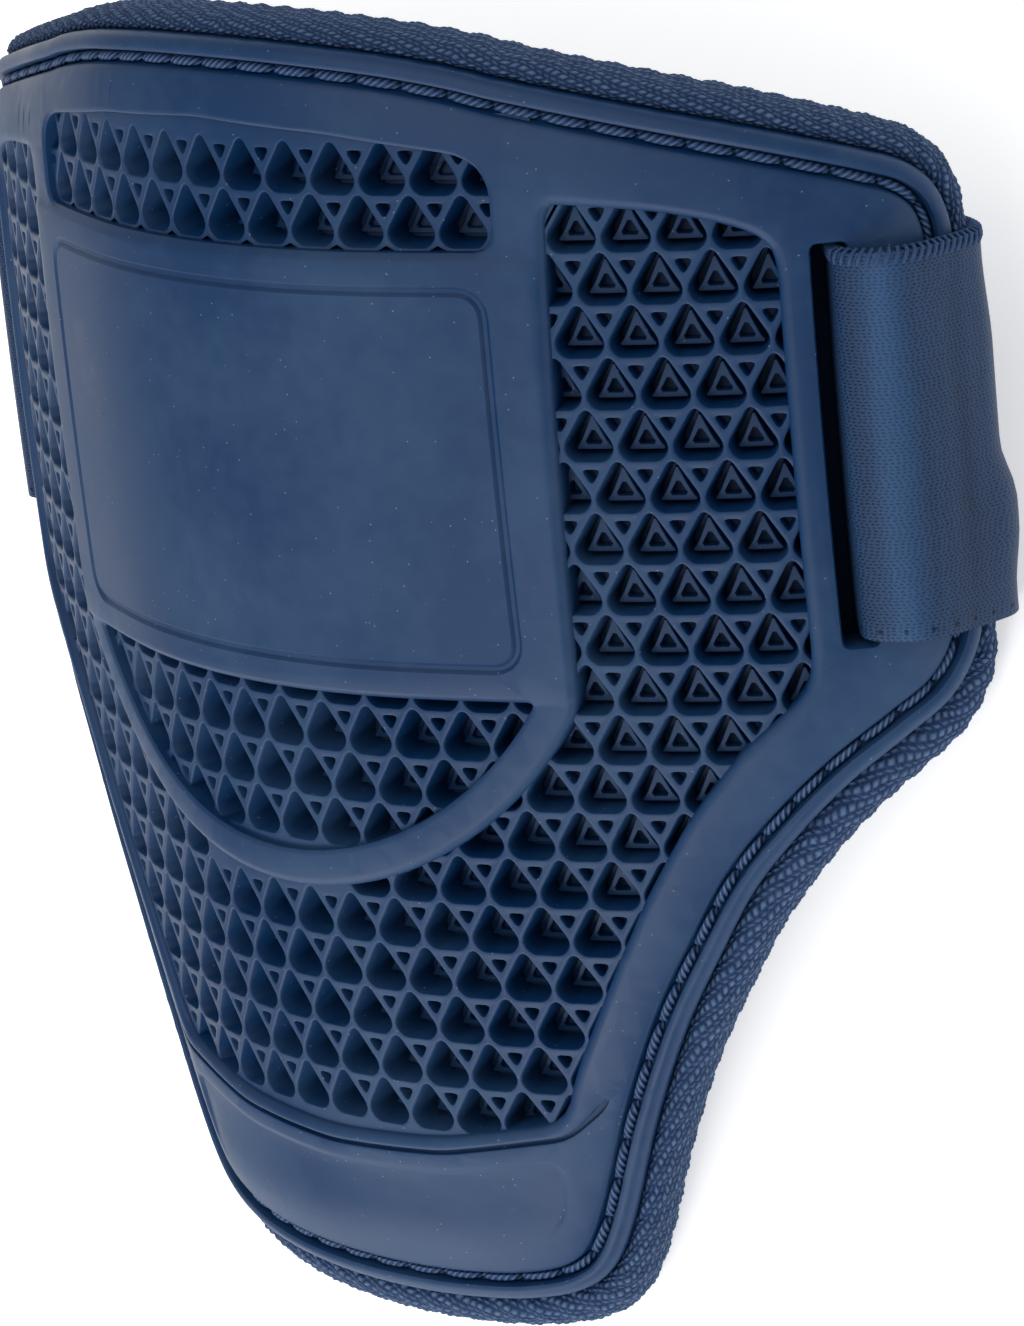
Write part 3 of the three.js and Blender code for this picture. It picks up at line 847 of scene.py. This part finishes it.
height = add_node(tree, "ShaderNodeMath", {0: fluff, 1: 0.6, 2: crowns}, operation="MULTIPLY_ADD")
# Painted light: the colour goes from painted shade in the gaps to a painted highlight on the crowns.
shade = add_node(tree, "ShaderNodeMapRange", {"Value": height, "From Min": 0.2, "From Max": 1.3})
colour = add_node(tree, "ShaderNodeMix", {
    "Factor": shade, "A": linear(YARN_SHADE), "B": linear(YARN_CROWN_HIGHLIGHT),
}, data_type="RGBA")
bump = add_node(tree, "ShaderNodeBump", {"Height": height, "Strength": 1, "Distance": 0.25 * mm})
link_up(tree, shader, colour, bump)
pad.data.materials.append(woven)

# Closed-cell foam, bare on the pad's front under the shell: dull, with a fine grain, and painted nearly
# black as painted shade where it shows through the slits.
CELL_SIZE = 0.5
FOAM_CELL_SHADE = "#021226"
FOAM_WALL_SHADE = "#06203c"
foam, tree, shader = new_material("closed_cell_foam_painted_shade", {"Roughness": 0.9, "Specular IOR Level": 0.2})
where = add_node(tree, "ShaderNodeTexCoord").outputs["Object"]
cells = add_node(tree, "ShaderNodeTexVoronoi", {"Vector": where, "Scale": 1 / (CELL_SIZE * mm)})
colour = add_node(tree, "ShaderNodeMix", {
    "Factor": cells, "A": linear(FOAM_CELL_SHADE), "B": linear(FOAM_WALL_SHADE),
}, data_type="RGBA")
bump = add_node(tree, "ShaderNodeBump", {"Height": cells, "Strength": 0.4, "Distance": 0.1 * mm})
link_up(tree, shader, colour, bump)
pad.data.materials.append(foam)
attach(pad, "root")
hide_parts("pad")

# Lock stitches along the rim.
# Thick twisted polyester thread in the shell's sewing channel, through shell and pad. Each stitch is a
# short length of it, and its ends dip into their holes.
STITCH_INSET = 3.75
STITCH_PITCH = 6.1
THREAD_FLOOR = -0.95
THREAD_RADIUS = 0.6
THREAD_ROUNDNESS = 2
PLIES = 3
PLY_PITCH = 0.95

# One stitch: distance along it, across it, height and share of the thickness.
STITCH_SPINE = (
    (-2.9, 0, -0.75, 0.5), (-2.4, 0, -0.15, 0.85), (-1.3, 0, 0.1, 1), (0, 0, 0.15, 1), (1.3, 0, 0.1, 1),
    (2.4, 0, -0.15, 0.85), (2.9, 0, -0.75, 0.5),
)


def thread(name, spine, radius, roundness):
    """A length of thread with closed ends, along a spine."""
    curve = bpy.data.curves.new(name, "CURVE")
    curve.dimensions = "3D"
    curve.bevel_depth = radius * mm
    curve.bevel_resolution = roundness
    line = curve.splines.new("POLY")
    line.points.add(len(spine) - 1)
    for point, (along, across, height, thickness) in zip(line.points, spine):
        point.co = (along * mm, across * mm, height * mm, 1)
        point.radius = thickness
    piece = meshed(name, curve)
    edit(piece)
    bpy.ops.mesh.select_all(action="SELECT")
    bpy.ops.mesh.fill_holes(sides=0)
    bpy.ops.object.mode_set(mode="OBJECT")
    return piece


def inset(points, by):
    """A closed anticlockwise outline moved inward from each of its edges."""
    moved = []
    for at, corner in enumerate(points):
        arriving = (corner - points[at - 1]).normalized()
        leaving = (points[(at + 1) % len(points)] - corner).normalized()
        inward = Vector((-arriving.y - leaving.y, arriving.x + leaving.x))
        moved.append(corner + inward * by / (1 + arriving.dot(leaving)))
    return moved


stitch = thread("stitch", STITCH_SPINE, THREAD_RADIUS, THREAD_ROUNDNESS)
sides = len(stitch.data.vertices) // len(STITCH_SPINE)
while stitch.data.uv_layers:
    stitch.data.uv_layers.remove(stitch.data.uv_layers[0])
ply_map = stitch.data.uv_layers.new(name="ply")
for face in stitch.data.polygons:
    turns = [stitch.data.loops[at].vertex_index % sides / sides for at in face.loop_indices]
    for at, turn in zip(face.loop_indices, turns):
        ring = stitch.data.loops[at].vertex_index // sides
        wrapped = turn + 1 if max(turns) - turn > 0.5 else turn
        ply_map.data[at].uv = (STITCH_SPINE[ring][0] / PLY_PITCH, wrapped * PLIES)

stitch_line = inset(shell_edge, STITCH_INSET)
stitch_line.append(stitch_line[0])
stops = distances(stitch_line)
stitch_count = round(stops[-1] / STITCH_PITCH)
stitches = []
for number in range(stitch_count):
    sewn = copied(stitch)
    for vertex in sewn.data.vertices:
        along, side, height = vertex.co / mm
        spot, run = spot_on(stitch_line, stops, (number * stops[-1] / stitch_count + along) % stops[-1])
        u, up = spot + Vector((-run.y, run.x)).normalized() * side
        vertex.co = place(u, -up, rim_slope(u, -up) + THREAD_FLOOR + height)
    stitches.append(sewn)
bpy.data.objects.remove(stitch)
stitching = joined("lock_stitches", stitches)
close_up(stitching, SOFT_SHARP)

# Twisted polyester thread: the plies show as slanting ridges, with painted shade in the dark lines between
# them.
THREAD = "#46699a"
THREAD_SHADE = "#0e2a50"
BAND_PER_UNIT = math.tau / 10
twisted, tree, shader = new_material("twisted_polyester_thread", {"Roughness": 0.6})
where = add_node(tree, "ShaderNodeUVMap", uv_map="ply").outputs["UV"]
plies = add_node(tree, "ShaderNodeTexWave", {
    "Vector": where, "Scale": BAND_PER_UNIT, "Distortion": 0,
}, bands_direction="DIAGONAL")
colour = add_node(tree, "ShaderNodeMix", {
    "Factor": plies.outputs["Fac"], "A": linear(THREAD_SHADE), "B": linear(THREAD),
}, data_type="RGBA")
bump = add_node(tree, "ShaderNodeBump", {
    "Height": plies.outputs["Fac"], "Strength": 1, "Distance": 0.25 * mm,
})
link_up(tree, shader, colour, bump)
stitching.data.materials.append(twisted)
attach(stitching, "root")

# Elastic strap.
# A knitted elastic band, overlocked along its upper edge. From the ground it goes round each ear's tip,
# over the bar, down through the slot, and back under the ear, where its end is sewn to it.
STRAP_WIDTH = 48
STRAP_THICKNESS = 1.5
STRAP_FLAT_HALF = 28
STRAP_LIFT_POWER = 1.7
STRAP_ROWS = 24
STRAP_STEPS = 5
STRAP_EDGE_ROUND = 0.45
STRAP_SHARP = 50

# The strap's way round the ear's tip, over the bar and down the slot: distance across, and height.
STRAP_ON_EAR = (
    (97, -16.2), (100.6, -15.2), (102.7, -13.2), (103.5, -10.8), (103.4, -7.5), (102.5, -4.4), (101, -2.2),
    (98.8, -0.9), (96, -0.15), (93, 0.35), (90, 0.8), (87.5, 1), (85.6, 0.95), (84.2, 0.4), (83.3, -1),
    (83.1, -6), (83.2, -12), (84.8, -14.1), (90, -14.3), (97, -14.3),
)

# At the right it stands a little proud of the bar, and a little slack round the ear's tip: how much, and
# between which distances down the guard.
STRAP_CROWN = 1.7
CROWN_HEIGHTS = (-3, 0)
CROWN_RISE = (83.4, 89.5)
CROWN_FALL = (90.5, 99)
EAR_TIP = (97, 103)
STRAP_SLACK = ((0.85, 30, 42), (2.05, 54, 61.5), (-1.3, 64, 73))


def on_ear(u, s, n, slack, crown):
    proud = crown * ramp(n, *CROWN_HEIGHTS) * ramp(u, *CROWN_RISE) * (1 - ramp(u, *CROWN_FALL))
    return place(u + slack * ramp(u, *EAR_TIP), s, n + proud)


def strap_half(s, slack, crown):
    """The strap's middle from the ground's centre to its end under the ear, a distance s down the guard."""
    ear = [on_ear(u, s, n, slack, crown) for u, n in STRAP_ON_EAR]
    rest = STRAP_THICKNESS / 2 * mm
    ground = [Vector((STRAP_FLAT_HALF * share * mm, ear[0].y, rest)) for share in (0, 0.5)]
    for share in (0, 0.25, 0.5, 0.75):
        lifted = ground[0].lerp(ear[0], share) + Vector((STRAP_FLAT_HALF * mm * (1 - share), 0, 0))
        lifted.z = rest + (ear[0].z - rest) * share ** STRAP_LIFT_POWER
        ground.append(lifted)
    half = smooth(ground + ear, STRAP_STEPS, closed=False)
    for point in half:
        point.z = max(point.z, rest)
    return half


def strap_line(s):
    """The strap's whole length, from the end under the left ear to the end under the right one."""
    slack = sum(most * ramp(s, start, end) for most, start, end in STRAP_SLACK)
    left = [Vector((-point.x, point.y, point.z)) for point in strap_half(s, 0, 0)[:0:-1]]
    return left + strap_half(s, slack, STRAP_CROWN)


strap_top = STRAP_CENTRE - STRAP_WIDTH / 2
strap_lines = [strap_line(strap_top + STRAP_WIDTH * row / STRAP_ROWS) for row in range(STRAP_ROWS + 1)]
strap_run = [stop / mm for stop in distances(strap_lines[STRAP_ROWS // 2])]
steps = len(strap_run)
bpy.ops.mesh.primitive_grid_add(x_subdivisions=steps - 1, y_subdivisions=STRAP_ROWS)
strap = bpy.context.object
knit_map = strap.data.uv_layers[0]
knit_map.name = "knit"
for loop in strap.data.loops:
    row, step = divmod(loop.vertex_index, steps)
    knit_map.data[loop.index].uv = (strap_run[step], STRAP_WIDTH * row / STRAP_ROWS)
for vertex in strap.data.vertices:
    row, step = divmod(vertex.index, steps)
    vertex.co = strap_lines[row][step]
thick = strap.modifiers.new("thick", "SOLIDIFY")
thick.thickness = STRAP_THICKNESS * mm
thick.offset = 0
bpy.ops.object.modifier_apply(modifier=thick.name)
rounded = strap.modifiers.new("rounded", "BEVEL")
rounded.width = STRAP_EDGE_ROUND * mm
rounded.segments = 2
rounded.limit_method = "ANGLE"
rounded.angle_limit = math.radians(SOFT_SHARP)
bpy.ops.object.modifier_apply(modifier=rounded.name)
strap.select_set(False)
strap.name = "elastic_strap"
close_up(strap, STRAP_SHARP)

# Knitted elastic: rows of tiny loops with short dark dashes between them, faint bands across the strap,
# and a line of needle holes by the lower edge. Along the fold by each slot, where the strap turns over the
# bar toward the light, it is painted paler as a painted highlight. The loops are drawn about a third larger
# than they are, to show.
LOOP_LENGTH = 0.7
LOOP_ROW = 0.42
BAND_WIDTH = 5
HOLE_PITCH = 1.5
HOLE_LINE = 1.3
# Where the painted highlight along the fold lies, and how far it reaches.
FOLD_AT = 28
FOLD_REACH = 4.2
ELASTIC_LIGHT = "#34537a"
ELASTIC_SHADE = "#001533"
elastic, tree, shader = new_material("knitted_elastic", {
    "Roughness": 0.5, "Specular IOR Level": 0.18, "Sheen Weight": 0.02, "Sheen Roughness": 0.45,
    "Sheen Tint": linear(FIBRE_SHEEN),
})
where = add_node(tree, "ShaderNodeUVMap", uv_map="knit").outputs["UV"]
wander = add_node(tree, "ShaderNodeTexNoise", {"Vector": where, "Scale": 1.4, "Detail": 2})
swayed = add_node(tree, "ShaderNodeVectorMath", {
    0: wander.outputs["Color"], 1: (0.6, 0.4, 0),
}, operation="MULTIPLY")
drawn = add_node(tree, "ShaderNodeVectorMath", {0: where, 1: swayed}, operation="ADD")
scaled = add_node(tree, "ShaderNodeMapping", {
    "Vector": drawn, "Scale": (1 / LOOP_LENGTH, 1 / LOOP_ROW, 1),
})
axes = add_node(tree, "ShaderNodeSeparateXYZ", {"Vector": scaled})
row = add_node(tree, "ShaderNodeMath", {0: axes.outputs["Y"]}, operation="FLOOR")
chance = add_node(tree, "ShaderNodeTexWhiteNoise", {"W": row}, noise_dimensions="1D")
shifted = add_node(tree, "ShaderNodeMath", {0: axes.outputs["X"], 1: chance}, operation="ADD")
along = add_node(tree, "ShaderNodeMath", {0: shifted, 1: 0.5}, operation="PINGPONG")
across = add_node(tree, "ShaderNodeMath", {0: axes.outputs["Y"], 1: 0.5}, operation="PINGPONG")
along = add_node(tree, "ShaderNodeMapRange", {
    "Value": along, "From Min": 0.1, "From Max": 0.4,
}, interpolation_type="SMOOTHSTEP")
across = add_node(tree, "ShaderNodeMapRange", {
    "Value": across, "From Min": 0.1, "From Max": 0.45,
}, interpolation_type="SMOOTHSTEP")
dash = add_node(tree, "ShaderNodeMath", {0: along, 1: across}, operation="MULTIPLY")
knit = add_node(tree, "ShaderNodeMath", {0: dash, 1: -0.7, 2: 0.4}, operation="MULTIPLY_ADD")
long_bands = add_node(tree, "ShaderNodeMapping", {
    "Vector": where, "Scale": (1 / BAND_WIDTH, 0.1 / BAND_WIDTH, 1),
})
bands = add_node(tree, "ShaderNodeTexNoise", {"Vector": long_bands, "Scale": 1, "Detail": 3})
banded = add_node(tree, "ShaderNodeMath", {0: bands, 1: 1.1, 2: knit}, operation="MULTIPLY_ADD")
holes = add_node(tree, "ShaderNodeMapping", {
    "Vector": where, "Location": (0, HOLE_LINE - STRAP_WIDTH, 0), "Scale": (1, 1, 0),
})
hole_axes = add_node(tree, "ShaderNodeSeparateXYZ", {"Vector": holes})
hole_step = add_node(tree, "ShaderNodeMath", {
    0: hole_axes.outputs["X"], 1: HOLE_PITCH,
}, operation="PINGPONG")
hole_spot = add_node(tree, "ShaderNodeCombineXYZ", {"X": hole_step, "Y": hole_axes.outputs["Y"]})
hole_reach = add_node(tree, "ShaderNodeVectorMath", {0: hole_spot}, operation="LENGTH")
hole = add_node(tree, "ShaderNodeMapRange", {
    "Value": hole_reach.outputs["Value"], "From Min": 0.15, "From Max": 0.4, "To Min": -0.9, "To Max": 0,
})
height = add_node(tree, "ShaderNodeMath", {0: banded, 1: hole}, operation="ADD")
from_end = add_node(tree, "ShaderNodeMath", {
    0: hole_axes.outputs["X"], 1: strap_run[-1] / 2,
}, operation="PINGPONG")
from_fold = add_node(tree, "ShaderNodeMath", {0: from_end, 1: FOLD_AT}, operation="SUBTRACT")
off_fold = add_node(tree, "ShaderNodeMath", {0: from_fold}, operation="ABSOLUTE")
# Painted highlight: the tone is raised toward the pale colour along the fold by each slot, where the strap
# turns toward the light.
fold_highlight = add_node(tree, "ShaderNodeMapRange", {
    "Value": off_fold, "From Max": FOLD_REACH, "To Min": 0.8, "To Max": 0,
}, interpolation_type="SMOOTHSTEP")
tone = add_node(tree, "ShaderNodeMath", {0: height, 1: fold_highlight}, operation="ADD")
shade = add_node(tree, "ShaderNodeMapRange", {"Value": tone, "From Min": 0.2, "From Max": 1.8})
colour = add_node(tree, "ShaderNodeMix", {
    "Factor": shade, "A": linear(ELASTIC_SHADE), "B": linear(ELASTIC_LIGHT),
}, data_type="RGBA")
bump = add_node(tree, "ShaderNodeBump", {"Height": height, "Strength": 0.9, "Distance": 0.1 * mm})
link_up(tree, shader, colour, bump)
strap.data.materials.append(elastic)
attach(strap, "root")
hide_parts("strap")

# Overlock along the strap's upper edge.
# Soft nylon yarn, sewn over the cut edge of the elastic so that it doesn't fray. Each loop is a short
# length of it that wraps the edge and leans a little.
OVERLOCK_PITCH = 1
OVERLOCK_RADIUS = 0.25
OVERLOCK_ROUNDNESS = 1
OVERLOCK_LEAN = 0.4

# One loop: distance down from the edge, and height.
OVERLOCK_SPINE = ((1.5, 0.6), (0.8, 0.88), (0, 0.8), (-0.32, 0), (0, -0.8), (0.8, -0.88), (1.5, -0.6))
leaning = [(down * OVERLOCK_LEAN, down, height, 1) for down, height in OVERLOCK_SPINE]
wrap = thread("overlock", leaning, OVERLOCK_RADIUS, OVERLOCK_ROUNDNESS)
edge, below = strap_lines[:2]
stops = [stop / mm for stop in distances(edge)]
wraps = []
for number in range(1, int(stops[-1] / OVERLOCK_PITCH)):
    distance = number * OVERLOCK_PITCH
    spot, run = spot_on(edge, stops, distance)
    run.normalize()
    at = bisect(stops, distance)
    downward = (below[at] - edge[at]).normalized()
    outward = run.cross(downward)
    sewn = copied(wrap)
    for vertex in sewn.data.vertices:
        along, across, height = vertex.co
        vertex.co = spot + run * along + downward * across + outward * height
        vertex.co.z = max(vertex.co.z, 0)
    wraps.append(sewn)
bpy.data.objects.remove(wrap)
overlock = joined("strap_overlock", wraps)
close_up(overlock, SOFT_SHARP)

# Textured nylon yarn: soft, with no clear ply, and a little paler than the elastic.
NYLON_SHADE = "#0f2d54"
NYLON_LIGHT = "#284d7a"
FLUFF_SIZE = 0.4
textured, tree, shader = new_material("textured_nylon_yarn", {"Roughness": 0.75})
where = add_node(tree, "ShaderNodeTexCoord").outputs["Object"]
fluff = add_node(tree, "ShaderNodeTexNoise", {
    "Vector": where, "Scale": 1 / (FLUFF_SIZE * mm), "Detail": 2,
})
colour = add_node(tree, "ShaderNodeMix", {
    "Factor": fluff, "A": linear(NYLON_SHADE), "B": linear(NYLON_LIGHT),
}, data_type="RGBA")
bump = add_node(tree, "ShaderNodeBump", {"Height": fluff, "Strength": 0.6, "Distance": 0.1 * mm})
link_up(tree, shader, colour, bump)
overlock.data.materials.append(textured)
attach(overlock, "root")

# Studio: a pale floor in a white room. The key and a smaller lamp stand beyond the guard's foot, one lamp
# hangs over it and one stands beyond its top, all of them broad and soft.
FLOOR_SIZE = 6
FLOOR_GLOW = 0.57
ROOM_LIGHT = 0.37
WHITE = (1, 1, 1, 1)
bpy.ops.mesh.primitive_plane_add(size=FLOOR_SIZE)
floor = bpy.context.object
floor.name = "studio_floor"
paper, tree, shader = new_material("pale_paper", {
    "Base Color": linear("#f4f4f4"), "Roughness": 0.9,
    "Emission Color": WHITE, "Emission Strength": FLOOR_GLOW,
})
floor.data.materials.append(paper)

world = bpy.data.worlds.new("white_room")
bpy.context.scene.world = world
world.use_nodes = True
room = world.node_tree.nodes["Background"]
room.inputs["Color"].default_value = WHITE
room.inputs["Strength"].default_value = ROOM_LIGHT
bpy.context.scene.view_settings.view_transform = "Standard"

# Each lamp: its name, its place and its size in metres, and its power in watts.
LIGHTS_AIM = Vector((0, -0.03, 0.03))
LIGHTS = (
    ("key", (-0.35, -0.88, 0.38), 0.6, 3.7),
    ("overhead", (0.12, 0, 1), 0.8, 2.3),
    ("low", (0.25, -0.82, 0.62), 0.4, 3.3),
    ("top", (0.1, 0.6, 0.85), 0.7, 1.5),
)
for name, position, size, power in LIGHTS:
    lamp = bpy.data.lights.new(name, "AREA")
    lamp.size = size
    lamp.energy = power
    light = bpy.data.objects.new(name, lamp)
    light.location = position
    light.rotation_euler = (Vector(position) - LIGHTS_AIM).to_track_quat("Z", "Y").to_euler()
    bpy.context.collection.objects.link(light)

CAMERA_PLACE = (0.53763, 0.02678, 0.57901)
CAMERA_TURN = (0.622, 43.253, 8.040)
CAMERA_LENS = 163.6
CAMERA_FAR = 20
eye = bpy.data.cameras.new("camera")
eye.lens = CAMERA_LENS
eye.clip_end = CAMERA_FAR
camera = bpy.data.objects.new("camera", eye)
camera.location = CAMERA_PLACE
camera.rotation_euler = [math.radians(turn) for turn in CAMERA_TURN]
bpy.context.collection.objects.link(camera)
bpy.context.scene.camera = camera
